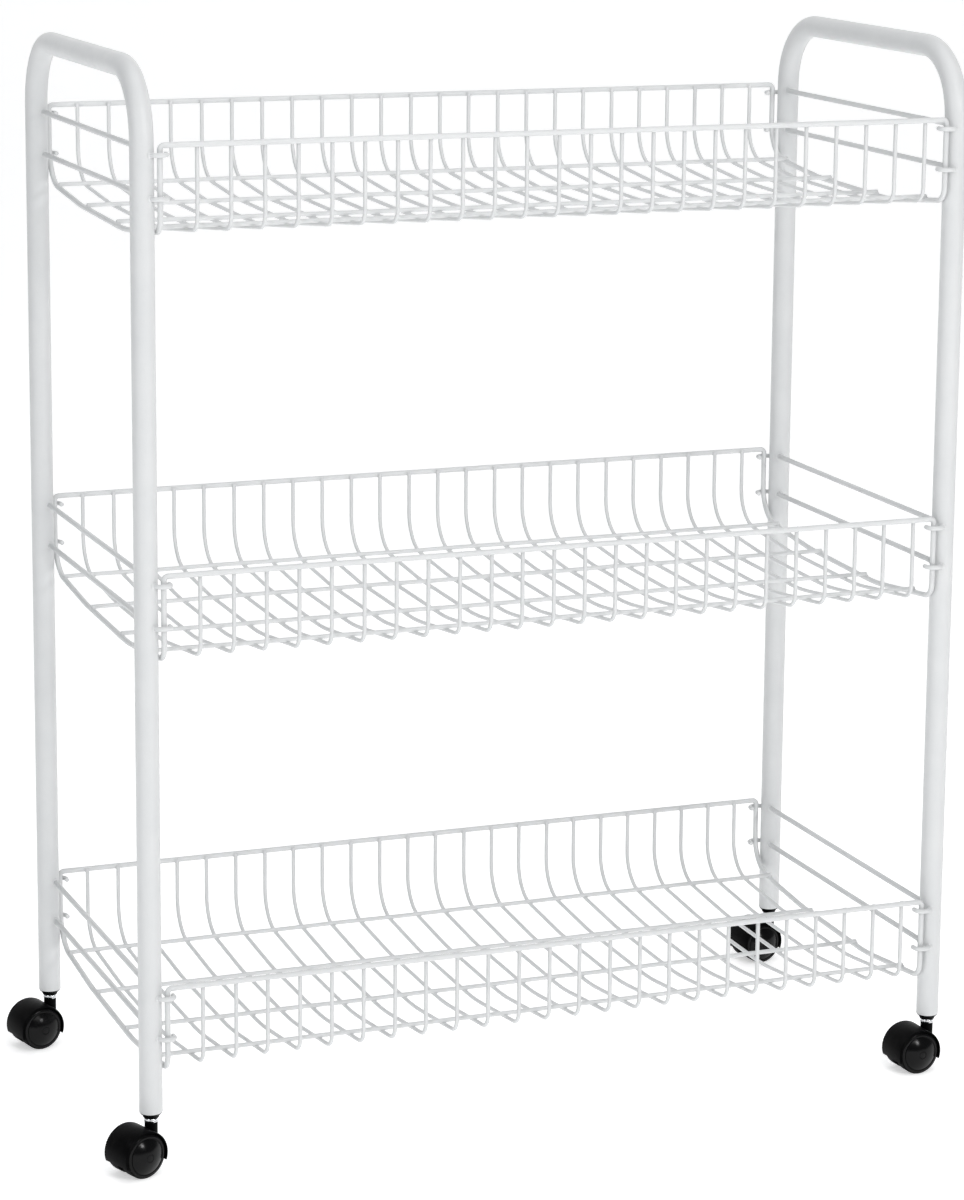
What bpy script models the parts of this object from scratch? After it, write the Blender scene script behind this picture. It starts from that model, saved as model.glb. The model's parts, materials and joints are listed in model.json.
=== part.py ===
"""Rolling utility cart: two bent-tube side frames, three open wire baskets and four twin-wheel casters.

The cart is as wide as it is along X, its front faces -Y and +Z is up. Everything hangs from one empty,
which centre_on_footprint moves so that the origin is under the middle of the cart, on the floor.
"""
import math

import bmesh
import bpy
from mathutils import Matrix, Vector

# Side frames
LEG_X = 0.350                # leg centreline from the cart's middle, along its width
LEG_Y = 0.160                # leg centreline from the cart's middle, front to back
TUBE_RADIUS = 0.0095
TUBE_BORE = 0.0083
HANDLE_BEND = 0.055          # centreline radius of the two bends of a handle
LEG_BOTTOM = 0.049           # the open lower end of a leg, above the floor
HANDLE_HEIGHT = 0.884        # centreline of the handle bar

# Tiers
RIM_HEIGHTS = {"bottom": 0.153, "middle": 0.490, "top": 0.827}
RUNG_DROPS = {"upper": 0.0045, "lower": 0.040}
RUNG_RADIUS = 0.0023
RUNG_INSET = 0.0045          # rungs meet the legs this far inboard of the leg centrelines
HOOK_DROPS = (0.0085, 0.041)
HOOK_RADIUS = 0.0021
HOOK_SWING = 0.0055          # the hook turns round a basket's end wire at this radius
HOOK_TAIL = 0.006            # length of the hook past its bend
HOOK_BITE = 0.0001           # how far the middle of a hook's end is sunk into the tube
HOOK_WELD_ANGLE = 62.0       # where on the leg the hook is welded, from the side that faces inboard
HOOK_KNEE = (0.0085, 0.0118) # inboard and outward from the leg's centre, where the hook turns to the basket

# Baskets
BASKET_X = 0.3375            # centre of the end wires
BASKET_Y = 0.167             # centre of the rims
RIM_HALF = 0.0021            # half thickness of the rim and end wire
CROSS_HALF = 0.0016          # half thickness of a cross wire
FLOOR_HALF = 0.0018          # half thickness of a lengthwise floor wire
WELD_BITE = 0.0004           # how far welded wires sink into each other
RIM_CORNER = 0.005
BACK_BEND = 0.032
FRONT_BEND = 0.012
BACK_DROP = 0.064            # the back face and the floor would meet this far below the rim
FRONT_DROP = 0.0670
FLOOR_BREAK_Y = 0.065
FLOOR_BACK_DROP = 0.0735
FLOOR_FRONT_DROP = 0.0772
FLOOR_WIRE_YS = (0.134, 0.0445, -0.0445, -0.134)
FLOOR_WIRE_END = 0.3388
CROSS_COUNT = 24
CROSS_PITCH = 0.02724
CROSS_SKEW = 0.0068          # the front ends of the cross wires sit this much further right than the back ends

# Casters
CASTER_YAWS = {"front_left": 200.0, "back_left": 194.0, "front_right": 184.0, "back_right": 188.0}
WHEEL_RADIUS = 0.0185        # floor to axle
WHEEL_SIDES = 24
WHEEL_INNER_FACE = 0.0034
WHEEL_TREAD_EDGE = 0.0138
WHEEL_DOME = 0.0190
TRAIL = 0.0150
AXLE_RADIUS = 0.0020
AXLE_SIDES = 16
AXLE_HALF_LENGTH = 0.0112
AXLE_CLEARANCE = 0.00008
HOOD_RADIUS = 0.0207
HOOD_POCKET = 0.0194
HOOD_HALF_WIDTH = 0.0155
HOOD_SKIRT = 0.0120          # the hood ends this far above the floor
WEB_HALF = 0.0030
NECK_RADIUS = 0.0053
NECK_TOP = 0.0405
PIN_RADIUS = 0.0024
PIN_BORE = 0.0027
PIN_BOTTOM = 0.0310
PIN_TOP = 0.0700
RING_RADIUS = 0.0059
RING_BOTTOM = 0.0410
RING_TOP = 0.0443
SOCKET_BOTTOM = 0.0446
SOCKET_BOTTOM_RADIUS = 0.0064
SOCKET_LIP_RADIUS = 0.0086
SOCKET_PLUG_RADIUS = 0.0075
SOCKET_TOP = 0.0740
GAP = 0.0003

SIDES = {"left": -1, "right": 1}
ENDS = {"front": -1, "back": 1}


def clear_scene():
    for item in list(bpy.data.objects):
        bpy.data.objects.remove(item, do_unlink=True)


def make_material(name, colour, roughness, metallic=0.0):
    material = bpy.data.materials.new(name)
    material.use_nodes = True
    shader = material.node_tree.nodes["Principled BSDF"]
    shader.inputs["Base Color"].default_value = (*colour, 1.0)
    shader.inputs["Roughness"].default_value = roughness
    shader.inputs["Metallic"].default_value = metallic
    return material


def add_empty(name, parent=None, location=(0.0, 0.0, 0.0), turn=0.0):
    empty = bpy.data.objects.new(name, None)
    bpy.context.collection.objects.link(empty)
    empty.parent = parent
    empty.location = location
    empty.rotation_euler = (0.0, 0.0, turn)
    return empty


def add_object(name, mesh, material, parent, location=(0.0, 0.0, 0.0), rotation=(0.0, 0.0, 0.0)):
    item = bpy.data.objects.new(name, mesh)
    bpy.context.collection.objects.link(item)
    if not mesh.materials:
        mesh.materials.append(material)
    item.parent = parent
    item.location = location
    item.rotation_euler = rotation
    return item


def finish_mesh(name, shape):
    """Turn a bmesh into a mesh, with its faces pointing out."""
    bmesh.ops.recalc_face_normals(shape, faces=shape.faces)
    mesh = bpy.data.meshes.new(name)
    shape.to_mesh(mesh)
    shape.free()
    return mesh


def smooth_mesh(mesh):
    mesh.shade_smooth()
    mesh.set_sharp_from_angle(angle=math.radians(40))
    return mesh


def rounded_path(corners, radii, steps):
    """A polyline whose inner corners become arcs. A radius of 0 keeps the corner."""
    path = [corners[0]]
    for before, corner, after, radius, count in zip(corners, corners[1:], corners[2:], radii, steps):
        if radius == 0:
            path.append(corner)
            continue
        back = (before - corner).normalized()
        ahead = (after - corner).normalized()
        half = back.angle(ahead) / 2
        centre = corner + (back + ahead).normalized() * radius / math.sin(half)
        start = corner + back * radius / math.tan(half) - centre
        axis = back.cross(ahead)
        sweep_angle = math.pi - 2 * half
        for step in range(count + 1):
            turn = Matrix.Rotation(-sweep_angle * step / count, 3, axis)
            path.append(centre + turn @ start)
    path.append(corners[-1])
    return path


def ring_frames(path, normal, closed):
    """The tangent and a steady normal at each point of a path."""
    count = len(path)
    frames = []
    for index, point in enumerate(path):
        after = path[(index + 1) % count] if closed or index < count - 1 else None
        before = path[index - 1] if closed or index > 0 else None
        tangent = Vector((0, 0, 0))
        if after is not None:
            tangent += (after - point).normalized()
        if before is not None:
            tangent += (point - before).normalized()
        tangent.normalize()
        if frames:
            normal = frames[-1][0].rotation_difference(tangent) @ normal
        normal = (normal - tangent * normal.dot(tangent)).normalized()
        frames.append((tangent, normal.copy()))
    return frames


def add_ring(shape, point, tangent, normal, radius, sides, phase):
    side = tangent.cross(normal)
    ring = []
    for index in range(sides):
        angle = phase + 2 * math.pi * index / sides
        offset = normal * math.cos(angle) + side * math.sin(angle)
        ring.append(shape.verts.new(point + offset * radius))
    return ring


def bridge(shape, ring, other, shift=0):
    count = len(ring)
    for index in range(count):
        following = (index + 1) % count
        shape.faces.new((ring[index], ring[following],
                         other[(following + shift) % count], other[(index + shift) % count]))


def sweep(shape, path, radius, sides, normal, closed=False, bore=0.0):
    """Sweep a regular polygon along a path, solid or with a bore, open-ended or as a closed loop."""
    phase = math.pi / sides
    frames = ring_frames(path, normal, closed)
    skins = []
    for skin_radius in (radius, bore) if bore else (radius,):
        rings = [add_ring(shape, point, tangent, side_normal, skin_radius, sides, phase)
                 for point, (tangent, side_normal) in zip(path, frames)]
        for ring, other in zip(rings, rings[1:]):
            bridge(shape, ring, other)
        skins.append(rings)
    if closed:
        rings = skins[0]
        offset = rings[-1][0].co - path[-1]
        twist = min(range(sides), key=lambda shift: (rings[0][shift].co - path[0] - offset).length)
        bridge(shape, rings[-1], rings[0], twist)
    elif bore:
        bridge(shape, skins[0][0], skins[1][0])
        bridge(shape, skins[0][-1], skins[1][-1])
    else:
        shape.faces.new(skins[0][0])
        shape.faces.new(skins[0][-1])


def lathe(shape, profile, sides, turn=None):
    """Turn a closed (radius, height) outline about Z. Points at radius 0 lie on the axis."""
    phase = math.pi / sides
    spin = turn or Matrix.Identity(3)
    rings = []
    for radius, height in profile:
        if radius == 0:
            rings.append([shape.verts.new(spin @ Vector((0, 0, height)))])
            continue
        rings.append([shape.verts.new(spin @ Vector((radius * math.cos(phase + 2 * math.pi * index / sides),
                                                     radius * math.sin(phase + 2 * math.pi * index / sides),
                                                     height))) for index in range(sides)])
    pairs = list(zip(rings, rings[1:]))
    if len(rings[0]) > 1 and len(rings[-1]) > 1:
        pairs.append((rings[-1], rings[0]))
    for ring, other in pairs:
        if len(ring) == 1 and len(other) == 1:
            continue
        if len(ring) == 1 or len(other) == 1:
            tip, wide = (ring[0], other) if len(ring) == 1 else (other[0], ring)
            for index in range(len(wide)):
                shape.faces.new((tip, wide[index], wide[(index + 1) % len(wide)]))
        else:
            bridge(shape, ring, other)


def lathe_mesh(name, profile, sides, turn=None):
    shape = bmesh.new()
    lathe(shape, profile, sides, turn)
    return finish_mesh(name, shape)


def cylinder_mesh(name, radius, low, high, sides, turn=None, centre=(0.0, 0.0, 0.0)):
    shape = bmesh.new()
    lathe(shape, [(0, low), (radius, low), (radius, high), (0, high)], sides, turn)
    bmesh.ops.translate(shape, verts=shape.verts, vec=centre)
    return finish_mesh(name, shape)


def box_mesh(name, low, high):
    shape = bmesh.new()
    bmesh.ops.create_cube(shape, size=1.0)
    size = Vector(high) - Vector(low)
    bmesh.ops.scale(shape, verts=shape.verts, vec=size)
    bmesh.ops.translate(shape, verts=shape.verts, vec=(Vector(low) + Vector(high)) / 2)
    return finish_mesh(name, shape)


def combine(name, base, steps):
    """Apply EXACT Booleans to a mesh, one after the other, and return the resulting mesh."""
    body = bpy.data.objects.new(name, base)
    bpy.context.collection.objects.link(body)
    helpers = []
    for operation, mesh in steps:
        helper = bpy.data.objects.new(name + "_tool", mesh)
        bpy.context.collection.objects.link(helper)
        helper.hide_render = True
        helper.display_type = "WIRE"
        helpers.append(helper)
        modifier = body.modifiers.new(operation.title(), "BOOLEAN")
        modifier.operation = operation
        modifier.solver = "EXACT"
        modifier.object = helper
    evaluated = body.evaluated_get(bpy.context.evaluated_depsgraph_get())
    result = bpy.data.meshes.new_from_object(evaluated)
    result.name = name
    result.materials.clear()
    for item in helpers + [body]:
        bpy.data.objects.remove(item, do_unlink=True)
    return result


# Side frames

def frame_mesh():
    """A left-hand frame: one bent tube, with the hooks that hold the baskets welded to its legs."""
    corners = [Vector((-LEG_X, y, z)) for y, z in ((-LEG_Y, LEG_BOTTOM), (-LEG_Y, HANDLE_HEIGHT),
                                                   (LEG_Y, HANDLE_HEIGHT), (LEG_Y, LEG_BOTTOM))]
    path = rounded_path(corners, (HANDLE_BEND, HANDLE_BEND), (5, 5))
    tube = bmesh.new()
    sweep(tube, path, TUBE_RADIUS, 12, Vector((1, 0, 0)), bore=TUBE_BORE)
    hooks = bmesh.new()
    for rim_height in RIM_HEIGHTS.values():
        for drop in HOOK_DROPS:
            for end in ENDS.values():
                sweep(hooks, hook_path(end, rim_height - drop), HOOK_RADIUS, 6, Vector((0, 0, 1)))
    return smooth_mesh(combine("frame_tube", finish_mesh("tube", tube), [("UNION", finish_mesh("hooks", hooks))]))


def hook_path(end, height):
    """From the weld on the leg, past a basket's end wire, round it and back."""
    weld = TUBE_RADIUS - HOOK_BITE
    angle = math.radians(HOOK_WELD_ANGLE)
    outer = BASKET_Y - LEG_Y + HOOK_SWING
    inner = LEG_X - BASKET_X + HOOK_SWING
    flat = [(weld * math.cos(angle), weld * math.sin(angle)), HOOK_KNEE, (inner, outer),
            (inner, outer - HOOK_SWING - HOOK_TAIL)]
    corners = [Vector((-LEG_X + across, end * (LEG_Y + out), height)) for across, out in flat]
    return rounded_path(corners, (0, HOOK_SWING), (0, 3))


def rung_mesh():
    """A rung lies along Y between the two legs of a frame."""
    leg_face = math.sqrt(TUBE_RADIUS ** 2 - (RUNG_INSET - RUNG_RADIUS) ** 2)
    reach = LEG_Y - leg_face - GAP
    shape = bmesh.new()
    sweep(shape, [Vector((0, -reach, 0)), Vector((0, reach, 0))], RUNG_RADIUS, 6, Vector((1, 0, 0)))
    return smooth_mesh(finish_mesh("rung", shape))


def build_frames(root, paint):
    tube = frame_mesh()
    rung = rung_mesh()
    for side, sign in SIDES.items():
        turn = 0.0 if sign < 0 else math.pi
        add_object(side + "_frame_tube", tube, paint, root, rotation=(0.0, 0.0, turn))
        for tier, rim_height in RIM_HEIGHTS.items():
            for level, drop in RUNG_DROPS.items():
                place = (sign * (LEG_X - RUNG_INSET), 0.0, rim_height - drop)
                add_object(f"{side}_{tier}_{level}_rung", rung, paint, root, place)


# Baskets

def basket_section(half_depth, top):
    """The U that the end wires and the cross wires follow, from the back rim to the front rim."""
    corners = [Vector((0, y, z)) for y, z in ((half_depth, top), (half_depth, -BACK_DROP),
                                              (FLOOR_BREAK_Y, -FLOOR_BACK_DROP),
                                              (-FLOOR_BREAK_Y, -FLOOR_FRONT_DROP),
                                              (-half_depth, -FRONT_DROP), (-half_depth, top))]
    return rounded_path(corners, (BACK_BEND, 0, 0, FRONT_BEND), (3, 0, 0, 2))


def floor_height(y):
    """Height of the floor's centreline at y, below the rim."""
    stations = [(BASKET_Y, -BACK_DROP), (FLOOR_BREAK_Y, -FLOOR_BACK_DROP),
                (-FLOOR_BREAK_Y, -FLOOR_FRONT_DROP), (-BASKET_Y, -FRONT_DROP)]
    for (y0, z0), (y1, z1) in zip(stations, stations[1:]):
        if y1 <= y <= y0:
            return z0 + (z1 - z0) * (y0 - y) / (y0 - y1)
    return -FRONT_DROP


def perimeter_path():
    """One closed wire: front rim, right end, back rim and left end."""
    across = BASKET_X - RIM_CORNER
    section = basket_section(BASKET_Y, -RIM_CORNER)
    right = [point + Vector((BASKET_X, 0, 0)) for point in reversed(section)]
    left = [point - Vector((BASKET_X, 0, 0)) for point in section]
    path = []
    for run, side in ((right, 1), (left, -1)):
        for point, entering in ((run[0], True), (run[-1], False)):
            centre = Vector((side * across, point.y, -RIM_CORNER))
            angles = (90, 60, 30) if entering else (30, 60, 90)
            arc = [centre + Vector((side * RIM_CORNER * math.cos(math.radians(angle)), 0,
                                    RIM_CORNER * math.sin(math.radians(angle)))) for angle in angles]
            path += arc + run if entering else arc
    return path


def cross_wires():
    shape = bmesh.new()
    half_depth = BASKET_Y - RIM_HALF - CROSS_HALF + WELD_BITE
    section = basket_section(half_depth, WELD_BITE)
    for index in range(CROSS_COUNT):
        middle = (index - (CROSS_COUNT - 1) / 2) * CROSS_PITCH + CROSS_SKEW / 2
        path = [point + Vector((middle - CROSS_SKEW * point.y / (2 * BASKET_Y), 0, 0)) for point in section]
        sweep(shape, path, CROSS_HALF * math.sqrt(2), 4, Vector((1, 0, 0)))
    return finish_mesh("cross_wires", shape)


def floor_wires():
    shape = bmesh.new()
    for y in FLOOR_WIRE_YS:
        height = floor_height(y) + CROSS_HALF + FLOOR_HALF - WELD_BITE
        ends = [Vector((-FLOOR_WIRE_END, y, height)), Vector((FLOOR_WIRE_END, y, height))]
        sweep(shape, ends, FLOOR_HALF * math.sqrt(2), 4, Vector((0, 0, 1)))
    return finish_mesh("floor_wires", shape)


def basket_mesh():
    perimeter = bmesh.new()
    sweep(perimeter, perimeter_path(), RIM_HALF * math.sqrt(2), 4, Vector((0, 1, 0)), closed=True)
    return combine("basket", finish_mesh("perimeter", perimeter),
                   [("UNION", floor_wires()), ("UNION", cross_wires())])


def build_baskets(root, paint):
    mesh = basket_mesh()
    for tier, rim_height in RIM_HEIGHTS.items():
        add_object(tier + "_basket", mesh, paint, root, (0.0, 0.0, rim_height))


# Casters

ALONG_Y = Matrix.Rotation(-math.pi / 2, 3, "X")


def hood_mesh():
    """The caster body: a drum over both wheels, open below, a web between them and a neck for the pin."""
    axle = (TRAIL, 0.0, WHEEL_RADIUS)
    drum = cylinder_mesh("drum", HOOD_RADIUS, -HOOD_HALF_WIDTH, HOOD_HALF_WIDTH, 24, ALONG_Y, axle)
    below = box_mesh("below", (-0.05, -0.03, -0.02), (0.08, 0.03, HOOD_SKIRT))
    neck = cylinder_mesh("neck", NECK_RADIUS, WHEEL_RADIUS + 0.0105, NECK_TOP, 16)
    steps = [("DIFFERENCE", below), ("UNION", neck)]
    for sign in (-1, 1):
        low, high = sorted((sign * WEB_HALF, sign * 0.03))
        steps.append(("DIFFERENCE", cylinder_mesh("pocket", HOOD_POCKET, low, high, 24, ALONG_Y, axle)))
    bore = AXLE_RADIUS + GAP
    steps.append(("DIFFERENCE", cylinder_mesh("axle_bore", bore, -0.01, 0.01, AXLE_SIDES, ALONG_Y, axle)))
    steps.append(("DIFFERENCE", cylinder_mesh("pin_bore", PIN_BORE, PIN_BOTTOM - GAP, 0.05, 12)))
    return smooth_mesh(combine("hood", drum, steps))


def wheel_mesh():
    """One wheel about its axle, its domed face towards +Y and a blind bore from the other side."""
    corner = WHEEL_RADIUS / math.cos(math.pi / WHEEL_SIDES)
    bore = AXLE_RADIUS + AXLE_CLEARANCE
    floor = AXLE_HALF_LENGTH + GAP
    profile = [(0, floor), (bore, floor), (bore, WHEEL_INNER_FACE), (corner, WHEEL_INNER_FACE),
               (corner, WHEEL_TREAD_EDGE), (corner * 0.93, WHEEL_TREAD_EDGE + 0.0012)]
    for share in (0.70, 0.35):
        rise = (WHEEL_DOME - WHEEL_TREAD_EDGE - 0.0012) * (1 - (share / 0.93) ** 2)
        profile.append((corner * share, WHEEL_TREAD_EDGE + 0.0012 + rise))
    profile.append((0, WHEEL_DOME))
    return smooth_mesh(lathe_mesh("wheel", profile, WHEEL_SIDES, ALONG_Y))


def axle_mesh():
    return smooth_mesh(cylinder_mesh("axle", AXLE_RADIUS, -AXLE_HALF_LENGTH, AXLE_HALF_LENGTH, AXLE_SIDES, ALONG_Y))


def stem_mesh():
    """The steel pin of a caster, with the ring that bears on the socket."""
    profile = [(0, PIN_BOTTOM), (PIN_RADIUS, PIN_BOTTOM), (PIN_RADIUS, RING_BOTTOM), (RING_RADIUS * 0.86, RING_BOTTOM),
               (RING_RADIUS, RING_TOP - 0.0012), (RING_RADIUS, RING_TOP), (PIN_RADIUS, RING_TOP),
               (PIN_RADIUS, PIN_TOP), (0, PIN_TOP)]
    return smooth_mesh(lathe_mesh("stem", profile, 16))


def socket_mesh():
    """The plastic plug in the end of a leg, bored through for the pin."""
    bore = PIN_RADIUS + GAP
    profile = [(bore, SOCKET_BOTTOM), (SOCKET_BOTTOM_RADIUS, SOCKET_BOTTOM), (SOCKET_LIP_RADIUS, LEG_BOTTOM - GAP),
               (SOCKET_PLUG_RADIUS, LEG_BOTTOM - GAP), (SOCKET_PLUG_RADIUS, SOCKET_TOP), (bore, SOCKET_TOP)]
    return smooth_mesh(lathe_mesh("socket", profile, 12))


def build_casters(root, colours):
    meshes = {"hood": hood_mesh(), "wheel": wheel_mesh(), "axle": axle_mesh(), "stem": stem_mesh(),
              "socket": socket_mesh()}
    for end, end_sign in ENDS.items():
        for side, side_sign in SIDES.items():
            corner = f"{end}_{side}"
            place = (side_sign * LEG_X, end_sign * LEG_Y, 0.0)
            add_object(corner + "_socket", meshes["socket"], colours["plastic"], root, place)
            add_object(corner + "_stem", meshes["stem"], colours["chrome"], root, place)
            swivel = add_empty(corner + "_swivel", root, place, math.radians(CASTER_YAWS[corner]))
            add_object(corner + "_hood", meshes["hood"], colours["plastic"], swivel)
            axle_place = (TRAIL, 0.0, WHEEL_RADIUS)
            add_object(corner + "_axle", meshes["axle"], colours["steel"], swivel, axle_place)
            add_object(corner + "_near_wheel", meshes["wheel"], colours["gloss"], swivel, axle_place)
            add_object(corner + "_far_wheel", meshes["wheel"], colours["gloss"], swivel, axle_place,
                       (0.0, 0.0, math.pi))


def centre_on_footprint(root):
    """Move the cart so that the origin is on the floor under the middle of its bounding box."""
    bpy.context.view_layer.update()
    points = [item.matrix_world @ vertex.co for item in bpy.data.objects if item.type == "MESH"
              for vertex in item.data.vertices]
    for axis in (0, 1):
        values = [point[axis] for point in points]
        root.location[axis] = -(min(values) + max(values)) / 2
    bpy.context.view_layer.update()


def build_cart():
    clear_scene()
    paint = make_material("white_powder_coat", (0.86, 0.87, 0.88), 0.35)
    colours = {"plastic": make_material("black_plastic", (0.02, 0.02, 0.022), 0.45),
               "gloss": make_material("gloss_black", (0.015, 0.015, 0.017), 0.18),
               "chrome": make_material("bright_chrome", (0.8, 0.81, 0.83), 0.08, 1.0),
               "steel": make_material("axle_steel", (0.55, 0.56, 0.58), 0.3, 1.0)}
    root = add_empty("cart")
    build_frames(root, paint)
    build_baskets(root, paint)
    build_casters(root, colours)
    centre_on_footprint(root)


build_cart()
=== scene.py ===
"""Looks of the rolling utility cart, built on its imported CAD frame."""
import json
import math

import bmesh
import bpy
from mathutils import Matrix, Vector


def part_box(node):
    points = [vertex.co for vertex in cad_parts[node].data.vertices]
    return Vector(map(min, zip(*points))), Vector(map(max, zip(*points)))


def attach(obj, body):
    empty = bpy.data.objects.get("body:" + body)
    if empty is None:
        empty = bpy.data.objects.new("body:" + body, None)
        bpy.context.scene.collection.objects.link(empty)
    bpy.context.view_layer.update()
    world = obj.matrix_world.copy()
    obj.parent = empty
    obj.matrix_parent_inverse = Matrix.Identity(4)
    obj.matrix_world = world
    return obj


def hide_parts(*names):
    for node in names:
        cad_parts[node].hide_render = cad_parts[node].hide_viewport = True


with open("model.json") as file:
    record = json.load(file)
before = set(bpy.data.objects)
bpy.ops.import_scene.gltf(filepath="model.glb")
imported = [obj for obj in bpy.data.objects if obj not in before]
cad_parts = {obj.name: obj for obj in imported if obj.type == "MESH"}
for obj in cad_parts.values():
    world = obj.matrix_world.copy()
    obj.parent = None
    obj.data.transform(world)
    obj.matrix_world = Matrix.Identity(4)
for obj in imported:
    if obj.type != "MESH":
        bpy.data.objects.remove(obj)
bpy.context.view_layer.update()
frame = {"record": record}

# Sizes in metres. Heights called drops are measured down from a basket's rim.
TUBE_RADIUS = 0.0095
TUBE_BORE = 0.0083
TUBE_MOUTH_DEPTH = 0.02      # how deep the open end of a leg is hollow
HANDLE_BEND = 0.055
RUNG_RADIUS = 0.0023
RUNG_SINK = 0.0008           # how far a rung reaches past its CAD box, into its weld
UPPER_RUNG_DROP = 0.0045
HOOK_RADIUS = 0.0020
HOOK_SWING = 0.0055          # the hook turns round a basket's end wire at this radius
HOOK_TAIL = 0.004
HOOK_DROPS = (0.0072, 0.041)
HOOK_KNEE = (0.0085, 0.0118)  # inboard and outward from the leg's centre
HOOK_KNEE_BEND = 0.003
HOOK_WELD_ANGLE = math.radians(62)
HOOK_SINK = 0.0001

BASKET_X = 0.3375
BASKET_Y = 0.167
RIM_RADIUS = 0.0023
CROSS_RADIUS = 0.0017
CROSS_TOP = 0.0012           # the cross wires end this far above the rim's centre
FLOOR_RADIUS = 0.0019
FLOOR_REACH = 0.0010         # the floor wires end this far past the end wires' centres
FLOOR_WAVE = 0.00015
FLOOR_WAVES = 6
FLOOR_STEPS = 48
BITE = 0.0004                # how far welded wires sink into each other
CROSS_HALF_DEPTH = BASKET_Y - RIM_RADIUS - CROSS_RADIUS + BITE
RIM_CORNER = 0.0036
BACK_BEND = 0.032
FRONT_BEND = 0.012
BREAK_BEND = 0.25
BACK_DROP = 0.064
FRONT_DROP = 0.0670
FLOOR_BREAK_Y = 0.065
FLOOR_BACK_DROP = 0.0735
FLOOR_FRONT_DROP = 0.0772
FLOOR_WIRE_YS = (0.134, 0.0445, -0.0445, -0.134)
CROSS_COUNT = 24
CROSS_PITCH = 0.02724
CROSS_SKEW = 0.0068          # the front ends sit this much further right than the back ends
CROSS_DRIFT = 0.00035
CROSS_BOW = 0.0005

# Weld beads: sizes along, across and between the wires
NUGGET_SIDES = 10
NUGGET_ROWS = 6
HOOK_WELD = (0.0032, 0.0030, 0.0011)
RUNG_WELD = (0.0033, 0.0034, 0.0010)
RIM_WELD = (0.0024, 0.0026, 0.0007)
RIM_WELD_Y = BASKET_Y - RIM_RADIUS + 0.0001
RIM_WELD_DROP = 0.0003
FLOOR_WELD = (0.0024, 0.0024, 0.0007)
END_WELD = (0.0030, 0.0026, 0.0009)
END_WELD_RISE = 0.0020

WHEEL_RADIUS = 0.0185
WHEEL_FACE = 0.0148
WHEEL_BULGE = 0.0045
TRAIL = 0.0150               # from the swivel's axis to the axle
HOOD_RADIUS = 0.0207
HOOD_POCKET = 0.0194
HOOD_HALF_WIDTH = 0.0155
HOOD_SKIRT = 0.0120
WEB_HALF = 0.0030
NECK_RADIUS = 0.0053
NECK_BOTTOM = 0.0290
NECK_TOP = 0.0405
EDGE_BEVEL = 0.00045

# Studio: angles in degrees
AZIMUTH, ELEVATION, ROLL = -21.185, 11.215, 0.458
LENS = 111.96                # mm, on the sensor below
SENSOR = 36.0
STAND = (-1.133, -2.905)     # from the middle of the four legs
EYE_HEIGHT = 1.132
LENS_SHIFT = -0.1
PAPER_HALF_WIDTH = 9.0
PAPER_FLAT = (-9.0, 3.0)     # the paper lies flat from front to back, then sweeps up
PAPER_SWEEP = 1.5
PAPER_TOP = 7.0
PAPER_TURN = -21.0

SIDES = {"left": -1, "right": 1}
ENDS = {"front": -1, "back": 1}
TIERS = ("bottom", "middle", "top")
CORNERS = [end + "_" + side for end in ENDS for side in SIDES]


def middle(node):
    low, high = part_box(node)
    return (Vector(low) + Vector(high)) / 2


LEGS = {corner: middle(corner + "_socket").xy for corner in CORNERS}
CENTRE = sum(LEGS.values(), Vector((0, 0))) / 4
LEG_X = abs(LEGS["front_right"].x - CENTRE.x)
LEG_Y = abs(LEGS["front_right"].y - CENTRE.y)
LEG_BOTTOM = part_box("left_frame_tube")[0][2]
HANDLE_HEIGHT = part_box("left_frame_tube")[1][2] - TUBE_RADIUS
RIMS = {tier: middle(f"left_{tier}_upper_rung").z + UPPER_RUNG_DROP for tier in TIERS}


def wobble(*seeds):
    """A steady small number between -1 and 1 for each set of seeds."""
    mixed = sum(seed * factor for seed, factor in zip(seeds, (12.9898, 78.233, 37.719)))
    value = math.sin(mixed) * 43758.5453
    return 2 * (value - math.floor(value)) - 1


# Materials

def new_material(name, roughness, metallic=0.0):
    material = bpy.data.materials.new(name)
    material.use_nodes = True
    shader = material.node_tree.nodes["Principled BSDF"]
    shader.inputs["Roughness"].default_value = roughness
    shader.inputs["Metallic"].default_value = metallic
    return material, material.node_tree, shader


def node(tree, kind, **inputs):
    made = tree.nodes.new(kind)
    for name, value in inputs.items():
        made.inputs[name.replace("_", " ")].default_value = value
    return made


def noise_node(tree, scale, detail=3.0, roughness=0.5, stretch=None):
    coordinates = tree.nodes.new("ShaderNodeTexCoord")
    made = node(tree, "ShaderNodeTexNoise", Scale=scale, Detail=detail, Roughness=roughness)
    if stretch:
        mapping = node(tree, "ShaderNodeMapping", Scale=stretch)
        tree.links.new(coordinates.outputs["Object"], mapping.inputs["Vector"])
        tree.links.new(mapping.outputs["Vector"], made.inputs["Vector"])
    else:
        tree.links.new(coordinates.outputs["Object"], made.inputs["Vector"])
    return made


def ramp(tree, source, stops):
    made = tree.nodes.new("ShaderNodeValToRGB")
    elements = made.color_ramp.elements
    while len(elements) < len(stops):
        elements.new(0.5)
    for element, (position, colour) in zip(elements, stops):
        element.position = position
        element.color = (*colour, 1.0)
    tree.links.new(source, made.inputs["Fac"])
    return made


def spread(tree, source, low, high):
    """Maps a texture's 0.3 to 0.7 to low to high."""
    made = tree.nodes.new("ShaderNodeMapRange")
    made.inputs["From Min"].default_value = 0.3
    made.inputs["From Max"].default_value = 0.7
    made.inputs["To Min"].default_value = low
    made.inputs["To Max"].default_value = high
    tree.links.new(source, made.inputs["Value"])
    return made.outputs["Result"]


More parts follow.
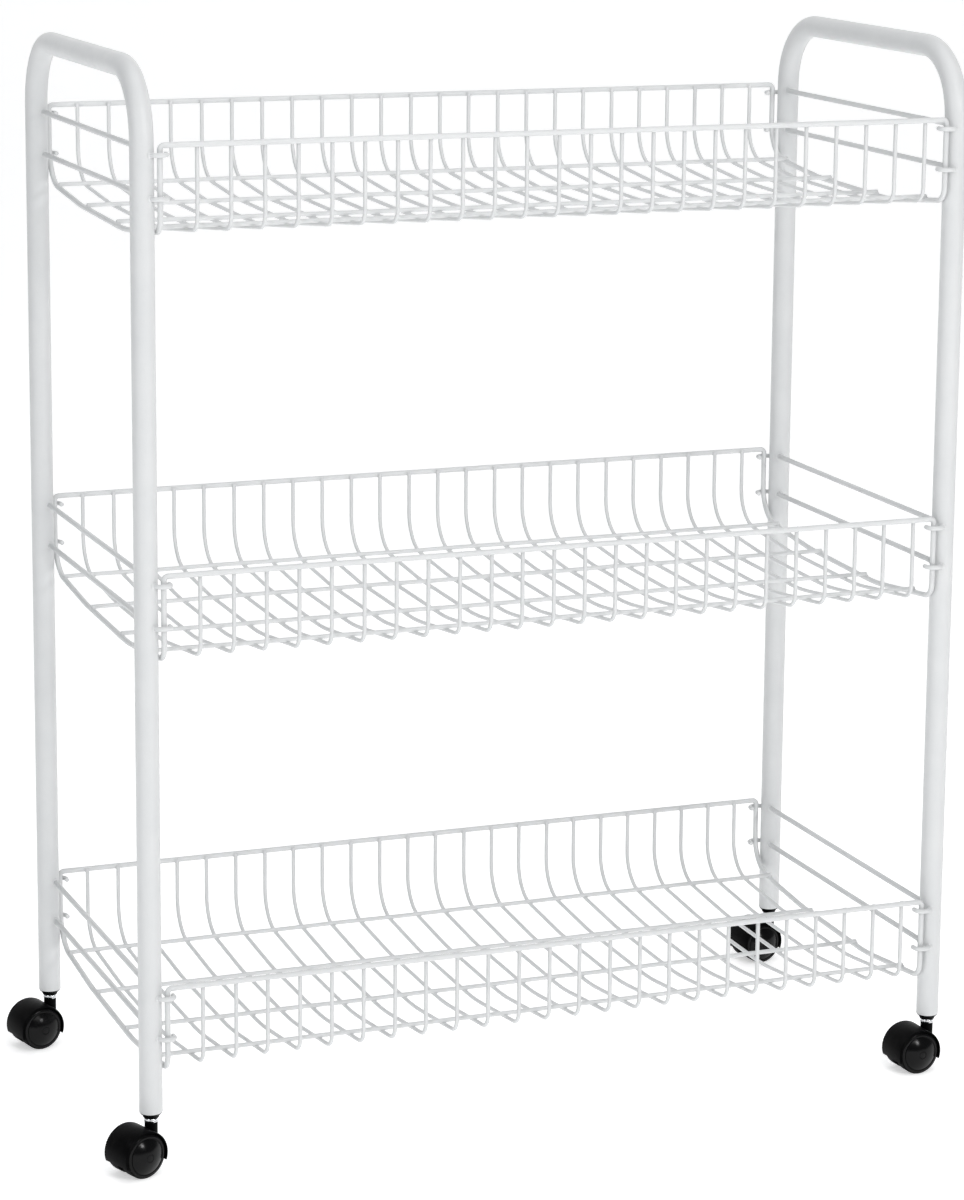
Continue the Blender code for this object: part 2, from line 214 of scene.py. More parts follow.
def bump(tree, shader, height, strength, distance, normal=None):
    made = node(tree, "ShaderNodeBump", Strength=strength, Distance=distance)
    tree.links.new(height, made.inputs["Height"])
    if normal:
        tree.links.new(normal, made.inputs["Normal"])
    tree.links.new(made.outputs["Normal"], shader.inputs["Normal"])
    return made.outputs["Normal"]


def powder_coat():
    """Satin white powder coat: faint mottling, orange peel and a slightly uneven gloss."""
    material, tree, shader = new_material("powder_coat", 0.34)
    shader.inputs["Specular IOR Level"].default_value = 0.28
    shader.inputs["Coat Weight"].default_value = 0.06
    shader.inputs["Coat Roughness"].default_value = 0.22
    tone = noise_node(tree, 38.0, 4.0, 0.55)
    tint = ramp(tree, tone.outputs["Fac"], [(0.30, (0.660, 0.670, 0.674)), (0.52, (0.678, 0.687, 0.690)),
                                            (0.72, (0.692, 0.699, 0.701))])
    specks = noise_node(tree, 1900.0, 2.0, 0.6)
    dust = ramp(tree, specks.outputs["Fac"], [(0.26, (0.80, 0.80, 0.79)), (0.34, (1.0, 1.0, 1.0))])
    mix = tree.nodes.new("ShaderNodeMix")
    mix.data_type = "RGBA"
    mix.blend_type = "MULTIPLY"
    mix.inputs["Factor"].default_value = 0.5
    tree.links.new(tint.outputs["Color"], mix.inputs[6])
    tree.links.new(dust.outputs["Color"], mix.inputs[7])
    tree.links.new(mix.outputs[2], shader.inputs["Base Color"])
    gloss = noise_node(tree, 160.0, 3.0, 0.6)
    tree.links.new(spread(tree, gloss.outputs["Fac"], 0.28, 0.42), shader.inputs["Roughness"])
    peel = noise_node(tree, 520.0, 2.0, 0.45)
    fine = noise_node(tree, 2600.0, 2.0, 0.5)
    first = bump(tree, shader, peel.outputs["Fac"], 0.22, 0.0004)
    bump(tree, shader, fine.outputs["Fac"], 0.10, 0.0001, first)
    return material


def grained_plastic():
    """Black nylon with a moulded pebble grain, a little greyer where it has been rubbed."""
    material, tree, shader = new_material("grained_black_nylon", 0.46)
    shader.inputs["IOR"].default_value = 1.25
    shader.inputs["Specular IOR Level"].default_value = 0.09
    patches = noise_node(tree, 120.0, 4.0, 0.6)
    tint = ramp(tree, patches.outputs["Fac"], [(0.30, (0.0012, 0.0012, 0.0014)),
                                               (0.55, (0.0025, 0.0025, 0.0027)),
                                               (0.75, (0.006, 0.006, 0.0063))])
    tree.links.new(tint.outputs["Color"], shader.inputs["Base Color"])
    tree.links.new(spread(tree, patches.outputs["Fac"], 0.34, 0.50), shader.inputs["Roughness"])
    coordinates = tree.nodes.new("ShaderNodeTexCoord")
    pebbles = node(tree, "ShaderNodeTexVoronoi", Scale=1250.0)
    tree.links.new(coordinates.outputs["Object"], pebbles.inputs["Vector"])
    grain = noise_node(tree, 2400.0, 3.0, 0.6)
    first = bump(tree, shader, pebbles.outputs["Distance"], 0.35, 0.0002)
    bump(tree, shader, grain.outputs["Fac"], 0.2, 0.0001, first)
    return material


def gloss_plastic():
    """Polished black wheel face with faint swirl and hair scratches."""
    material, tree, shader = new_material("gloss_black_face", 0.18)
    shader.inputs["IOR"].default_value = 1.33
    shader.inputs["Specular IOR Level"].default_value = 0.32
    cloud = noise_node(tree, 90.0, 3.0, 0.5)
    tint = ramp(tree, cloud.outputs["Fac"], [(0.35, (0.0012, 0.0012, 0.0013)), (0.7, (0.003, 0.003, 0.0032))])
    tree.links.new(tint.outputs["Color"], shader.inputs["Base Color"])
    scratches = noise_node(tree, 300.0, 5.0, 0.7, (1.0, 9.0, 1.0))
    tree.links.new(spread(tree, scratches.outputs["Fac"], 0.13, 0.24), shader.inputs["Roughness"])
    bump(tree, shader, scratches.outputs["Fac"], 0.12, 0.00008)
    return material


def tread_plastic():
    """The running surface: the same black, dulled and scuffed grey by the floor."""
    material, tree, shader = new_material("scuffed_black_tread", 0.55)
    shader.inputs["IOR"].default_value = 1.25
    shader.inputs["Specular IOR Level"].default_value = 0.09
    scuffs = noise_node(tree, 420.0, 6.0, 0.7, (1.0, 3.0, 1.0))
    tint = ramp(tree, scuffs.outputs["Fac"], [(0.40, (0.003, 0.003, 0.0032)), (0.60, (0.007, 0.007, 0.007)),
                                              (0.78, (0.022, 0.021, 0.020))])
    tree.links.new(tint.outputs["Color"], shader.inputs["Base Color"])
    tree.links.new(spread(tree, scuffs.outputs["Fac"], 0.42, 0.68), shader.inputs["Roughness"])
    bump(tree, shader, scuffs.outputs["Fac"], 0.3, 0.0001)
    return material


def plated_steel(name, low, high, tint_stops):
    """Bare or plated steel with fine drawn lines. low and high bound its roughness."""
    material, tree, shader = new_material(name, (low + high) / 2, 1.0)
    cloud = noise_node(tree, 260.0, 4.0, 0.6)
    tint = ramp(tree, cloud.outputs["Fac"], tint_stops)
    tree.links.new(tint.outputs["Color"], shader.inputs["Base Color"])
    lines = noise_node(tree, 700.0, 3.0, 0.6, (1.0, 1.0, 14.0))
    tree.links.new(spread(tree, lines.outputs["Fac"], low, high), shader.inputs["Roughness"])
    bump(tree, shader, lines.outputs["Fac"], 0.10, 0.00004)
    return material


def floor_paper():
    """Seamless white paper, with a barely visible tooth."""
    material, tree, shader = new_material("studio_paper", 0.85)
    tooth = noise_node(tree, 260.0, 4.0, 0.6)
    tint = ramp(tree, tooth.outputs["Fac"], [(0.3, (0.90, 0.90, 0.90)), (0.7, (0.92, 0.92, 0.92))])
    tree.links.new(tint.outputs["Color"], shader.inputs["Base Color"])
    shader.inputs["Emission Color"].default_value = (1.0, 1.0, 1.0, 1.0)
    shader.inputs["Emission Strength"].default_value = 0.47
    bump(tree, shader, tooth.outputs["Fac"], 0.05, 0.0005)
    return material


PAINT = powder_coat()
NYLON = grained_plastic()
GLOSS = gloss_plastic()
TREAD = tread_plastic()
CHROME = plated_steel("bright_plate", 0.05, 0.14, [(0.3, (0.74, 0.75, 0.77)), (0.7, (0.86, 0.86, 0.87))])
STEEL = plated_steel("drawn_steel", 0.22, 0.38, [(0.3, (0.42, 0.42, 0.43)), (0.7, (0.60, 0.60, 0.61))])


# Mesh helpers

def rounded_path(corners, radii, steps):
    """A polyline whose inner corners become arcs. A radius of 0 keeps the corner."""
    path = [corners[0]]
    for before, corner, after, radius, count in zip(corners, corners[1:], corners[2:], radii, steps):
        if radius == 0:
            path.append(corner)
            continue
        back = (before - corner).normalized()
        ahead = (after - corner).normalized()
        half = back.angle(ahead) / 2
        centre = corner + (back + ahead).normalized() * radius / math.sin(half)
        start = corner + back * radius / math.tan(half) - centre
        axis = back.cross(ahead)
        for step in range(count + 1):
            path.append(centre + Matrix.Rotation(-(math.pi - 2 * half) * step / count, 3, axis) @ start)
    path.append(corners[-1])
    return path


def ring_frames(path, normal, closed):
    """The tangent and a steady normal at each point of a path."""
    frames = []
    for index, point in enumerate(path):
        after = path[(index + 1) % len(path)] if closed or index < len(path) - 1 else None
        before = path[index - 1] if closed or index > 0 else None
        tangent = Vector((0, 0, 0))
        if after is not None:
            tangent += (after - point).normalized()
        if before is not None:
            tangent += (point - before).normalized()
        tangent.normalize()
        if frames:
            normal = frames[-1][0].rotation_difference(tangent) @ normal
        normal = (normal - tangent * normal.dot(tangent)).normalized()
        frames.append((tangent, normal.copy()))
    return frames


def bridge(shape, ring, other, shift=0):
    """Join two rings with a band of faces."""
    count = len(ring)
    for index in range(count):
        following = (index + 1) % count
        shape.faces.new((ring[index], ring[following],
                         other[(following + shift) % count], other[(index + shift) % count]))


def circle(shape, point, tangent, side, radius, sides):
    """A ring of vertices about a point, square to the tangent."""
    across = tangent.cross(side)
    return [shape.verts.new(point + (side * math.cos(2 * math.pi * index / sides)
                                     + across * math.sin(2 * math.pi * index / sides)) * radius)
            for index in range(sides)]


def wire(shape, path, radius, sides, normal=Vector((1, 0, 0)), closed=False, tip=0.0, bore=0.0):
    """A round wire or tube along a path. tip rounds off its two cut ends."""
    frames = ring_frames(path, normal, closed)
    sections = [(point, tangent, side, radius) for point, (tangent, side) in zip(path, frames)]
    if not closed:
        first, last = sections[0], sections[-1]
        heads = [(radius - tip, 0.0), (radius - tip * 0.3, tip * 0.3), (radius, tip)]
        start = [(first[0] + first[1] * depth, first[1], first[2], size) for size, depth in heads]
        finish = [(last[0] - last[1] * depth, last[1], last[2], size) for size, depth in reversed(heads)]
        sections = start + sections[1:-1] + finish
    rings = [circle(shape, point, tangent, side, size, sides) for point, tangent, side, size in sections]
    for ring, other in zip(rings, rings[1:]):
        bridge(shape, ring, other)
    if closed:
        offset = rings[-1][0].co - path[-1]
        twist = min(range(sides), key=lambda shift: (rings[0][shift].co - path[0] - offset).length)
        bridge(shape, rings[-1], rings[0], twist)
    elif bore:
        for ring, section, deeper in ((rings[0], sections[0], 1), (rings[-1], sections[-1], -1)):
            point, tangent, side = section[:3]
            inner = [circle(shape, point + tangent * depth * deeper, tangent, side, bore, sides)
                     for depth in (0.0, TUBE_MOUTH_DEPTH)]
            bridge(shape, ring, inner[0])
            bridge(shape, inner[0], inner[1])
            shape.faces.new(inner[1])
    else:
        shape.faces.new(rings[0])
        shape.faces.new(rings[-1])


def nugget(shape, place, along, across, sizes):
    """A small weld bead: a flattened ball with sizes along, across and between the two wires."""
    along = along.normalized()
    normal = along.cross(across).normalized()
    turn = Matrix((along, normal.cross(along), normal)).transposed()
    rings = []
    for row in range(1, NUGGET_ROWS):
        tilt = math.pi * row / NUGGET_ROWS
        rings.append([shape.verts.new(place + turn @ Vector((
            sizes[0] * math.sin(tilt) * math.cos(2 * math.pi * index / NUGGET_SIDES),
            sizes[1] * math.sin(tilt) * math.sin(2 * math.pi * index / NUGGET_SIDES),
            sizes[2] * math.cos(tilt)))) for index in range(NUGGET_SIDES)])
    for ring, other in zip(rings, rings[1:]):
        bridge(shape, ring, other)
    for ring, side in ((rings[0], 1), (rings[-1], -1)):
        tip = shape.verts.new(place + normal * sizes[2] * side)
        for index in range(NUGGET_SIDES):
            shape.faces.new((tip, ring[index], ring[(index + 1) % NUGGET_SIDES]))


def lathe(shape, profile, sides, turn=None, materials=None):
    """Spin an outline of (radius, height) points about Z. materials has a material slot for each stretch."""
    spin = turn or Matrix.Identity(3)
    rings = []
    for radius, height in profile:
        if radius == 0:
            rings.append([shape.verts.new(spin @ Vector((0, 0, height)))])
            continue
        rings.append([shape.verts.new(spin @ Vector((radius * math.cos(2 * math.pi * index / sides),
                                                     radius * math.sin(2 * math.pi * index / sides),
                                                     height))) for index in range(sides)])
    pairs = list(zip(rings, rings[1:]))
    if len(rings[0]) > 1 and len(rings[-1]) > 1:
        pairs.append((rings[-1], rings[0]))
    for number, (ring, other) in enumerate(pairs):
        if len(ring) == 1 and len(other) == 1:
            continue
        known = len(shape.faces)
        if len(ring) == 1 or len(other) == 1:
            tip, wide = (ring[0], other) if len(ring) == 1 else (other[0], ring)
            for index in range(len(wide)):
                shape.faces.new((tip, wide[index], wide[(index + 1) % len(wide)]))
        else:
            bridge(shape, ring, other)
        if materials:
            shape.faces.ensure_lookup_table()
            for face in shape.faces[known:]:
                face.material_index = materials[number]


def finish_mesh(name, shape, angle=35):
    """A smooth mesh with edges left sharp above an angle, in degrees."""
    bmesh.ops.recalc_face_normals(shape, faces=shape.faces)
    mesh = bpy.data.meshes.new(name)
    shape.to_mesh(mesh)
    shape.free()
    mesh.shade_smooth()
    mesh.set_sharp_from_angle(angle=math.radians(angle))
    return mesh


def add_piece(name, mesh, materials, body, place=None, nodes=()):
    """Put a mesh in the scene, to move with a body and to stand in for its CAD nodes."""
    piece = bpy.data.objects.new(name, mesh)
    bpy.context.scene.collection.objects.link(piece)
    if not mesh.materials:
        for material in materials:
            mesh.materials.append(material)
    if place is not None:
        piece.matrix_world = place
        bpy.context.view_layer.update()
    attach(piece, body)
    if nodes:
        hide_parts(*nodes)
    return piece


def carve(name, base, steps):
    """Apply Booleans to a mesh one after the other, and return the resulting mesh."""
    body = bpy.data.objects.new(name, base)
    bpy.context.scene.collection.objects.link(body)
    tools = []
    for operation, mesh in steps:
        tool = bpy.data.objects.new(name + "_tool", mesh)
        bpy.context.scene.collection.objects.link(tool)
        tools.append(tool)
        modifier = body.modifiers.new(operation.title(), "BOOLEAN")
        modifier.operation = operation
        modifier.solver = "EXACT"
        modifier.object = tool
    bevel = body.modifiers.new("Bevel", "BEVEL")
    bevel.width = EDGE_BEVEL
    bevel.segments = 3
    bevel.limit_method = "ANGLE"
    bevel.angle_limit = math.radians(40)
    result = bpy.data.meshes.new_from_object(body.evaluated_get(bpy.context.evaluated_depsgraph_get()))
    result.name = name
    for item in tools + [body]:
        bpy.data.objects.remove(item, do_unlink=True)
    result.materials.clear()
    result.shade_smooth()
    result.set_sharp_from_angle(angle=math.radians(35))
    return result


# Side frames

def build_tube(side, sign):
    corners = [Vector((sign * LEG_X, y, z)) for y, z in ((-LEG_Y, LEG_BOTTOM), (-LEG_Y, HANDLE_HEIGHT),
                                                         (LEG_Y, HANDLE_HEIGHT), (LEG_Y, LEG_BOTTOM))]
    path = rounded_path(corners, (HANDLE_BEND, HANDLE_BEND), (18, 18))
    shape = bmesh.new()
    wire(shape, path, TUBE_RADIUS, 40, tip=0.0004, bore=TUBE_BORE)
    mesh = finish_mesh(side + "_tube", shape)
    place = Matrix.Translation((CENTRE.x, CENTRE.y, 0))
    add_piece(side + "_tube", mesh, [PAINT], "frame", place, [side + "_frame_tube"])


def hook_path(side_sign, end_sign, height):
    """From the weld on a leg, past a basket's end wire, round it and back."""
    weld = Vector((math.cos(HOOK_WELD_ANGLE), math.sin(HOOK_WELD_ANGLE))) * (TUBE_RADIUS - HOOK_SINK)
    outer = BASKET_Y - LEG_Y + HOOK_SWING
    inner = LEG_X - BASKET_X + HOOK_SWING
    flat = [weld, HOOK_KNEE, (inner, outer), (inner, outer - HOOK_SWING - HOOK_TAIL)]
    corners = [Vector((side_sign * (LEG_X - across), end_sign * (LEG_Y + out), height))
               for across, out in flat]
    return rounded_path(corners, (HOOK_KNEE_BEND, HOOK_SWING), (4, 8))


def build_hooks(side, sign):
    shape = bmesh.new()
    for tier in TIERS:
        for drop in HOOK_DROPS:
            for end_sign in ENDS.values():
                height = RIMS[tier] - drop
                wire(shape, hook_path(sign, end_sign, height), HOOK_RADIUS, 14, Vector((0, 0, 1)), tip=0.0007)
                inward = Vector((-sign * math.cos(HOOK_WELD_ANGLE), end_sign * math.sin(HOOK_WELD_ANGLE), 0))
                weld = Vector((sign * LEG_X, end_sign * LEG_Y, height)) + inward * TUBE_RADIUS
                level = inward.cross(Vector((0, 0, 1)))
                nugget(shape, weld, level, Vector((0, 0, 1)), HOOK_WELD)
    mesh = finish_mesh(side + "_hooks", shape)
    place = Matrix.Translation((CENTRE.x, CENTRE.y, 0))
    add_piece(side + "_hooks", mesh, [PAINT], "frame", place)


def build_rungs(side):
    for tier in TIERS:
        for level in ("upper", "lower"):
            name = f"{side}_{tier}_{level}_rung"
            low, high = (Vector(corner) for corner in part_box(name))
            axis = (low + high) / 2
            ends = [Vector((axis.x, low.y - RUNG_SINK, axis.z)), Vector((axis.x, high.y + RUNG_SINK, axis.z))]
            shape = bmesh.new()
            wire(shape, ends, RUNG_RADIUS, 16, tip=0.0003)
            for end in ends:
                nugget(shape, end, Vector((1, 0, 0)), Vector((0, 0, 1)), RUNG_WELD)
            add_piece(name + "_wire", finish_mesh(name, shape), [PAINT], "frame", nodes=[name])


# Baskets

def basket_section(half_depth, top):
    """The U that the end wires and the cross wires follow, from the back rim to the front rim."""
    corners = [Vector((0, y, z)) for y, z in ((half_depth, top), (half_depth, -BACK_DROP),
                                              (FLOOR_BREAK_Y, -FLOOR_BACK_DROP),
                                              (-FLOOR_BREAK_Y, -FLOOR_FRONT_DROP),
                                              (-half_depth, -FRONT_DROP), (-half_depth, top))]
    return rounded_path(corners, (BACK_BEND, BREAK_BEND, BREAK_BEND, FRONT_BEND), (9, 3, 3, 8))


def floor_height(y):
    """Height of the floor's centreline at y, below the rim."""
    stations = [(BASKET_Y, -BACK_DROP), (FLOOR_BREAK_Y, -FLOOR_BACK_DROP),
                (-FLOOR_BREAK_Y, -FLOOR_FRONT_DROP), (-BASKET_Y, -FRONT_DROP)]
    for (y0, z0), (y1, z1) in zip(stations, stations[1:]):
        if y1 <= y <= y0:
            return z0 + (z1 - z0) * (y0 - y) / (y0 - y1)
    return -FRONT_DROP


def perimeter_path():
    """One closed wire: front rim, right end, back rim and left end."""
    across = BASKET_X - RIM_CORNER
    section = basket_section(BASKET_Y, -RIM_CORNER)
    right = [point + Vector((BASKET_X, 0, 0)) for point in reversed(section)]
    left = [point - Vector((BASKET_X, 0, 0)) for point in section]
    path = []
    for run, side in ((right, 1), (left, -1)):
        for point, entering in ((run[0], True), (run[-1], False)):
            centre = Vector((side * across, point.y, -RIM_CORNER))
            angles = range(90, 0, -15) if entering else range(15, 91, 15)
            arc = [centre + Vector((side * RIM_CORNER * math.cos(math.radians(angle)), 0,
                                    RIM_CORNER * math.sin(math.radians(angle)))) for angle in angles]
            path += arc + run if entering else arc
    return path


def cross_x(index, y, tier_number):
    """Where a cross wire lies along the basket, at y. It leans, bows and is welded a little off its mark."""
    lean = CROSS_SKEW / 2 - CROSS_SKEW * y / (2 * BASKET_Y)
    drift = CROSS_DRIFT * wobble(index, tier_number)
    bow = CROSS_BOW * wobble(index, tier_number, 3) * (1 - (y / CROSS_HALF_DEPTH) ** 2)
    return (index - (CROSS_COUNT - 1) / 2) * CROSS_PITCH + lean + drift + bow


def build_basket(number, tier):
    shape = bmesh.new()
    wire(shape, perimeter_path(), RIM_RADIUS, 18, Vector((0, 1, 0)), closed=True)
    section = basket_section(CROSS_HALF_DEPTH, CROSS_TOP)
    for index in range(CROSS_COUNT):
        path = [Vector((cross_x(index, point.y, number), point.y, point.z)) for point in section]
        wire(shape, path, CROSS_RADIUS, 12, tip=0.0005)
        for end_sign in ENDS.values():
            rim = Vector((cross_x(index, end_sign * CROSS_HALF_DEPTH, number),
                          end_sign * RIM_WELD_Y, -RIM_WELD_DROP))
            nugget(shape, rim, Vector((0, 0, 1)), Vector((1, 0, 0)), RIM_WELD)
        for y in FLOOR_WIRE_YS:
            touch = Vector((cross_x(index, y, number), y, floor_height(y) + CROSS_RADIUS - BITE / 2))
            nugget(shape, touch, Vector((0, 1, 0)), Vector((1, 0, 0)), FLOOR_WELD)
    for y in FLOOR_WIRE_YS:
        height = floor_height(y) + CROSS_RADIUS + FLOOR_RADIUS - BITE
        reach = BASKET_X + FLOOR_REACH
        points = []
        for step in range(FLOOR_STEPS + 1):
            x = -reach + 2 * reach * step / FLOOR_STEPS
            wave = FLOOR_WAVE * math.sin(2 * math.pi * FLOOR_WAVES * step / FLOOR_STEPS)
            points.append(Vector((x, y, height + wave)))
        wire(shape, points, FLOOR_RADIUS, 12, Vector((0, 0, 1)), tip=0.0006)
        for sign in SIDES.values():
            touch = Vector((sign * BASKET_X, y, floor_height(y) + END_WELD_RISE))
            nugget(shape, touch, Vector((0, 1, 0)), Vector((1, 0, 0)), END_WELD)
    mesh = finish_mesh(tier + "_basket_wires", shape)
    place = Matrix.Translation((CENTRE.x, CENTRE.y, RIMS[tier]))
    add_piece(tier + "_basket_wires", mesh, [PAINT], "frame", place, [tier + "_basket"])


# Casters

ALONG_Y = Matrix.Rotation(-math.pi / 2, 3, "X")


def turned(name, profile, sides, turn=None, centre=(0.0, 0.0, 0.0)):
    shape = bmesh.new()
    lathe(shape, profile, sides, turn)
    bmesh.ops.translate(shape, verts=shape.verts, vec=centre)
    bmesh.ops.recalc_face_normals(shape, faces=shape.faces)
    mesh = bpy.data.meshes.new(name)
    shape.to_mesh(mesh)
    shape.free()
    return mesh


def hood_mesh():
    """The caster body: a rounded drum over both wheels, open below, a web between them and a neck."""
    axle = (TRAIL, 0.0, WHEEL_RADIUS)
    wide = HOOD_HALF_WIDTH
    crown = [(HOOD_RADIUS - 0.0016, -wide), (HOOD_RADIUS - 0.0008, -wide + 0.00012),
             (HOOD_RADIUS - 0.00022, -wide + 0.0006), (HOOD_RADIUS, -wide + 0.0016)]
    outline = [(0, -wide)] + crown + [(radius, -height) for radius, height in reversed(crown)] + [(0, wide)]
    drum = turned("drum", outline, 96, ALONG_Y, axle)
    below = bmesh.new()
    size = Vector((0.1, 0.06, 0.05))
    bmesh.ops.create_cube(below, size=1.0, matrix=Matrix.Translation((TRAIL, 0, HOOD_SKIRT - size.z / 2))
                          @ Matrix.Diagonal((*size, 1)))
    cutter = bpy.data.meshes.new("below")
    below.to_mesh(cutter)
    below.free()
    collar = [(0, NECK_BOTTOM), (NECK_RADIUS, NECK_BOTTOM), (NECK_RADIUS, NECK_TOP - 0.0005),
              (NECK_RADIUS - 0.0004, NECK_TOP), (0, NECK_TOP)]
    steps = [("DIFFERENCE", cutter), ("UNION", turned("neck", collar, 40))]
    for sign in (-1, 1):
        near, far = sorted((sign * WEB_HALF, sign * 2 * HOOD_HALF_WIDTH))
        pocket = [(0, near), (HOOD_POCKET, near), (HOOD_POCKET, far), (0, far)]
        steps.append(("DIFFERENCE", turned("pocket", pocket, 96, ALONG_Y, axle)))
    return carve("hood", drum, steps)


def wheel_mesh():
    """A wheel about its axle, its face towards +Y: flat tread, rounded shoulder, rim groove and hub cap."""
    radius = WHEEL_RADIUS
    face = WHEEL_FACE
    profile = [(0, 0.0110), (0.0024, 0.0110), (0.0024, 0.0036), (radius - 0.0007, 0.0036),
               (radius - 0.0002, 0.0040), (radius, 0.0048), (radius, 0.0132), (radius - 0.0003, 0.0139),
               (radius - 0.0011, face - 0.0003), (radius - 0.0022, face), (radius - 0.0030, face + 0.0001),
               (radius - 0.0033, face - 0.0003), (radius - 0.0037, face - 0.0003)]
    rim = radius - 0.0040
    for share in (1, 0.93, 0.84, 0.74, 0.63, 0.52, 0.41, 0.30):
        profile.append((rim * share, face + 0.0003 + WHEEL_BULGE * (1 - share ** 2)))
    top = profile[-1][1]
    profile += [(0.0036, top + 0.0001), (0.0034, top - 0.0002), (0.0030, top - 0.0002),
                (0.0027, top + 0.0002), (0.0012, top + 0.0004), (0, top + 0.00045)]
    tread = range(3, 8)
    materials = [1 if stretch in tread else 0 for stretch in range(len(profile) - 1)]
    shape = bmesh.new()
    lathe(shape, profile, 64, ALONG_Y, materials)
    return finish_mesh("wheel", shape, 30)


def socket_mesh():
    """The black plug: a waisted collar below the tube's end and a plain plug inside it."""
    top = LEG_BOTTOM - 0.0001
    profile = [(0.0030, 0.0446), (0.0060, 0.0446), (0.0063, 0.0448), (0.0066, 0.0457), (0.0071, 0.0466),
               (0.0079, 0.0475), (0.0087, 0.0481), (0.0090, 0.0485), (0.0089, top), (0.0079, top),
               (0.0079, 0.0700), (0.0030, 0.0700)]
    shape = bmesh.new()
    lathe(shape, profile, 48)
    return finish_mesh("socket", shape)


def stem_mesh():
    """The pin and its plated ring, grooved round the middle."""
    profile = [(0, 0.0310), (0.0022, 0.0310), (0.0024, 0.0312), (0.0024, 0.0408), (0.0049, 0.0408),
               (0.0054, 0.0410), (0.0059, 0.0416), (0.0060, 0.0422), (0.0057, 0.0425), (0.0057, 0.0427),
               (0.0060, 0.0430), (0.0060, 0.0438), (0.0057, 0.0443), (0.0024, 0.0443), (0.0024, 0.0690),
               (0.0019, 0.0696), (0, 0.0696)]
    shape = bmesh.new()
    lathe(shape, profile, 48)
    return finish_mesh("stem", shape)


def axle_mesh():
    """The pin that both wheels turn on, its ends chamfered."""
    profile = [(0, -0.0108), (0.0016, -0.0108), (0.0020, -0.0104), (0.0020, 0.0104), (0.0016, 0.0108),
               (0, 0.0108)]
    shape = bmesh.new()
    lathe(shape, profile, 32, ALONG_Y)
    return finish_mesh("axle", shape)


def build_casters():
    meshes = {"hood": hood_mesh(), "wheel": wheel_mesh(), "socket": socket_mesh(), "stem": stem_mesh(),
              "axle": axle_mesh()}
    axes = {joint["name"]: joint for joint in frame["record"]["behaviour"]["joints"]}
    for corner in CORNERS:
        axis = axes[corner + "_near_roll"]["axis"]
        turn = Matrix.Rotation(math.atan2(-axis[0], axis[1]), 4, "Z")
        leg = Matrix.Translation((*LEGS[corner], 0))
        hub = leg @ turn @ Matrix.Translation((TRAIL, 0, WHEEL_RADIUS))
        add_piece(corner + "_plug", meshes["socket"], [NYLON], "frame", leg,
                  [corner + "_socket"])
        add_piece(corner + "_pin", meshes["stem"], [CHROME], "frame", leg, [corner + "_stem"])
        add_piece(corner + "_body", meshes["hood"], [NYLON], corner + "_swivel", leg @ turn,
                  [corner + "_hood"])
        add_piece(corner + "_spindle", meshes["axle"], [STEEL], corner + "_swivel", hub,
                  [corner + "_axle"])
        flip = Matrix.Rotation(math.pi, 4, "Z")
        for which, place in (("near", hub), ("far", hub @ flip)):
            body = f"{corner}_{which}_wheel"
            add_piece(body + "_disc", meshes["wheel"], [GLOSS, TREAD], body, place, [body])


# Studio

def build_floor():
    """A pale floor that sweeps up behind the cart."""
    shape = bmesh.new()
    mesh = bpy.data.meshes.new("floor")
    front, back = PAPER_FLAT
    outline = [(front, 0.0), (back, 0.0)]
    for step in range(1, 13):
        angle = math.radians(90 * step / 12)
        outline.append((back + PAPER_SWEEP * math.sin(angle), PAPER_SWEEP - PAPER_SWEEP * math.cos(angle)))
    outline.append((back + PAPER_SWEEP, PAPER_TOP))
    rows = [[shape.verts.new((x, y, z)) for y, z in outline] for x in (-PAPER_HALF_WIDTH, PAPER_HALF_WIDTH)]
    for index in range(len(outline) - 1):
        shape.faces.new((rows[0][index], rows[1][index], rows[1][index + 1], rows[0][index + 1]))
    turn = Matrix.Rotation(math.radians(PAPER_TURN), 3, "Z")
    bmesh.ops.rotate(shape, verts=shape.verts, cent=(0, 0, 0), matrix=turn)
    shape.to_mesh(mesh)
    shape.free()
    mesh.shade_smooth()
    mesh.materials.append(floor_paper())
    floor = bpy.data.objects.new("floor", mesh)
    bpy.context.scene.collection.objects.link(floor)


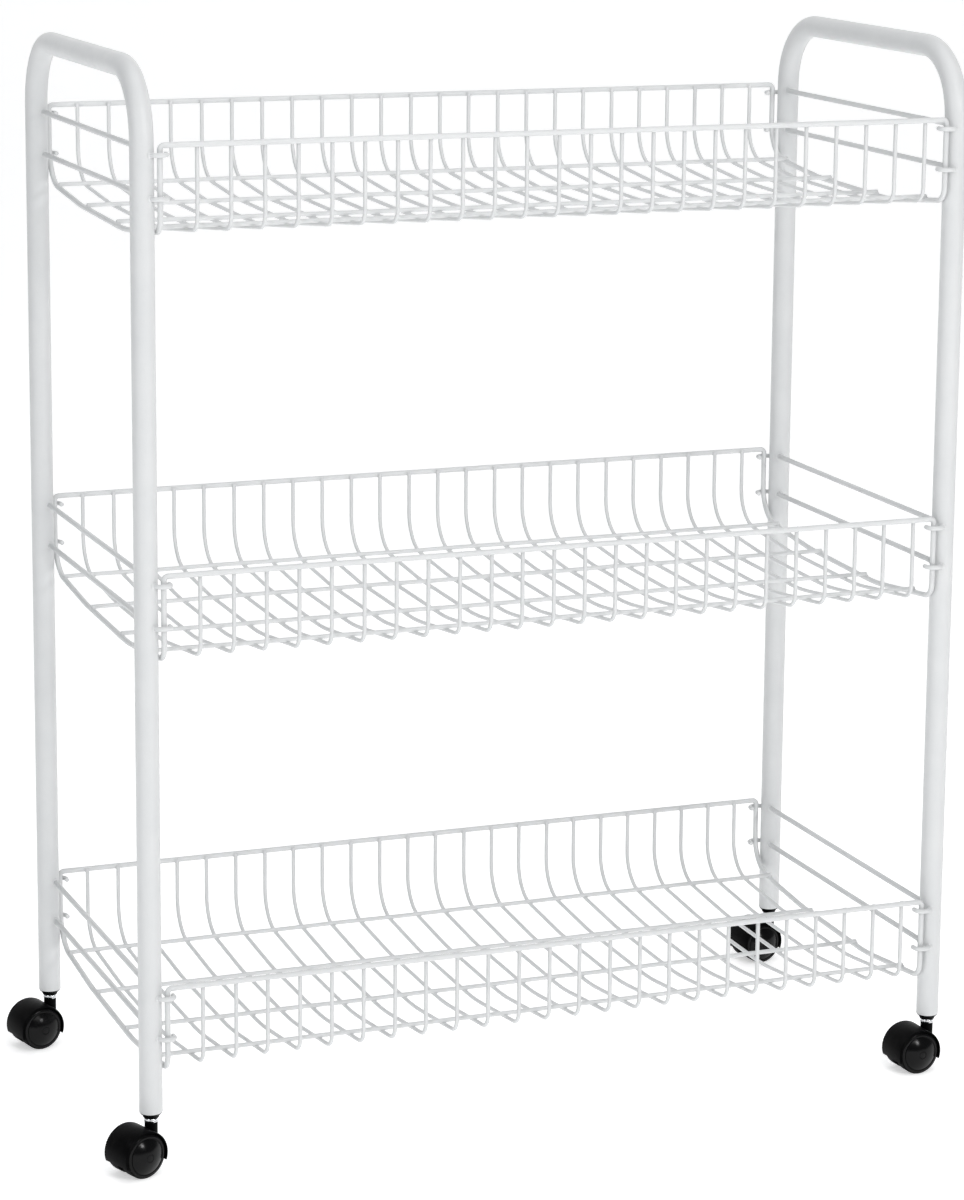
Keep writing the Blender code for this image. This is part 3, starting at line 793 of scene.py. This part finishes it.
def add_light(name, azimuth, elevation, distance, size, power, colour=(1.0, 1.0, 1.0)):
    """An area light aimed at the cart's middle."""
    target = Vector((CENTRE.x, CENTRE.y, 0.45))
    a, e = math.radians(azimuth), math.radians(elevation)
    back = Vector((math.sin(a) * math.cos(e), -math.cos(a) * math.cos(e), math.sin(e)))
    data = bpy.data.lights.new(name, "AREA")
    data.shape = "RECTANGLE"
    data.size, data.size_y = size
    data.energy = power
    data.color = colour
    light = bpy.data.objects.new(name, data)
    light.location = target + back * distance
    light.rotation_euler = back.to_track_quat("Z", "Y").to_euler()
    bpy.context.scene.collection.objects.link(light)


def build_world():
    world = bpy.data.worlds.new("studio")
    bpy.context.scene.world = world
    world.use_nodes = True
    background = world.node_tree.nodes["Background"]
    background.inputs["Color"].default_value = (0.93, 0.96, 1.0, 1.0)
    background.inputs["Strength"].default_value = 0.17


def build_camera():
    """The camera: azimuth and elevation of the look, a slight roll and a little lens shift."""
    azimuth, elevation, roll = (math.radians(value) for value in (AZIMUTH, ELEVATION, ROLL))
    forward = Vector((-math.sin(azimuth) * math.cos(elevation), math.cos(azimuth) * math.cos(elevation),
                      -math.sin(elevation)))
    right = forward.cross(Vector((0, 0, 1))).normalized()
    up = right.cross(forward)
    right, up = right * math.cos(roll) + up * math.sin(roll), up * math.cos(roll) - right * math.sin(roll)
    data = bpy.data.cameras.new("camera")
    data.sensor_width = SENSOR
    data.lens = LENS
    data.shift_y = LENS_SHIFT
    data.clip_end = 60.0
    camera = bpy.data.objects.new("camera", data)
    place = Vector((CENTRE.x + STAND[0], CENTRE.y + STAND[1], EYE_HEIGHT))
    camera.matrix_world = Matrix.Translation(place) @ Matrix((right, up, -forward)).transposed().to_4x4()
    bpy.context.scene.collection.objects.link(camera)
    bpy.context.scene.camera = camera


def build():
    for side, sign in SIDES.items():
        build_tube(side, sign)
        build_hooks(side, sign)
        build_rungs(side)
    for number, tier in enumerate(TIERS):
        build_basket(number, tier)
    build_casters()
    build_floor()
    build_world()
    build_camera()
    add_light("key", 2, 34, 3.2, (1.6, 1.6), 26.0, (1.0, 0.99, 0.98))
    add_light("spark", 22, 18, 3.2, (0.4, 0.4), 19.0)
    add_light("side", -58, 22, 3.0, (1.2, 1.8), 14.0, (0.96, 0.98, 1.0))
    add_light("sky", 0, 85, 3.4, (3.0, 3.0), 52.0)
    bpy.context.scene.view_settings.view_transform = "Standard"


build()
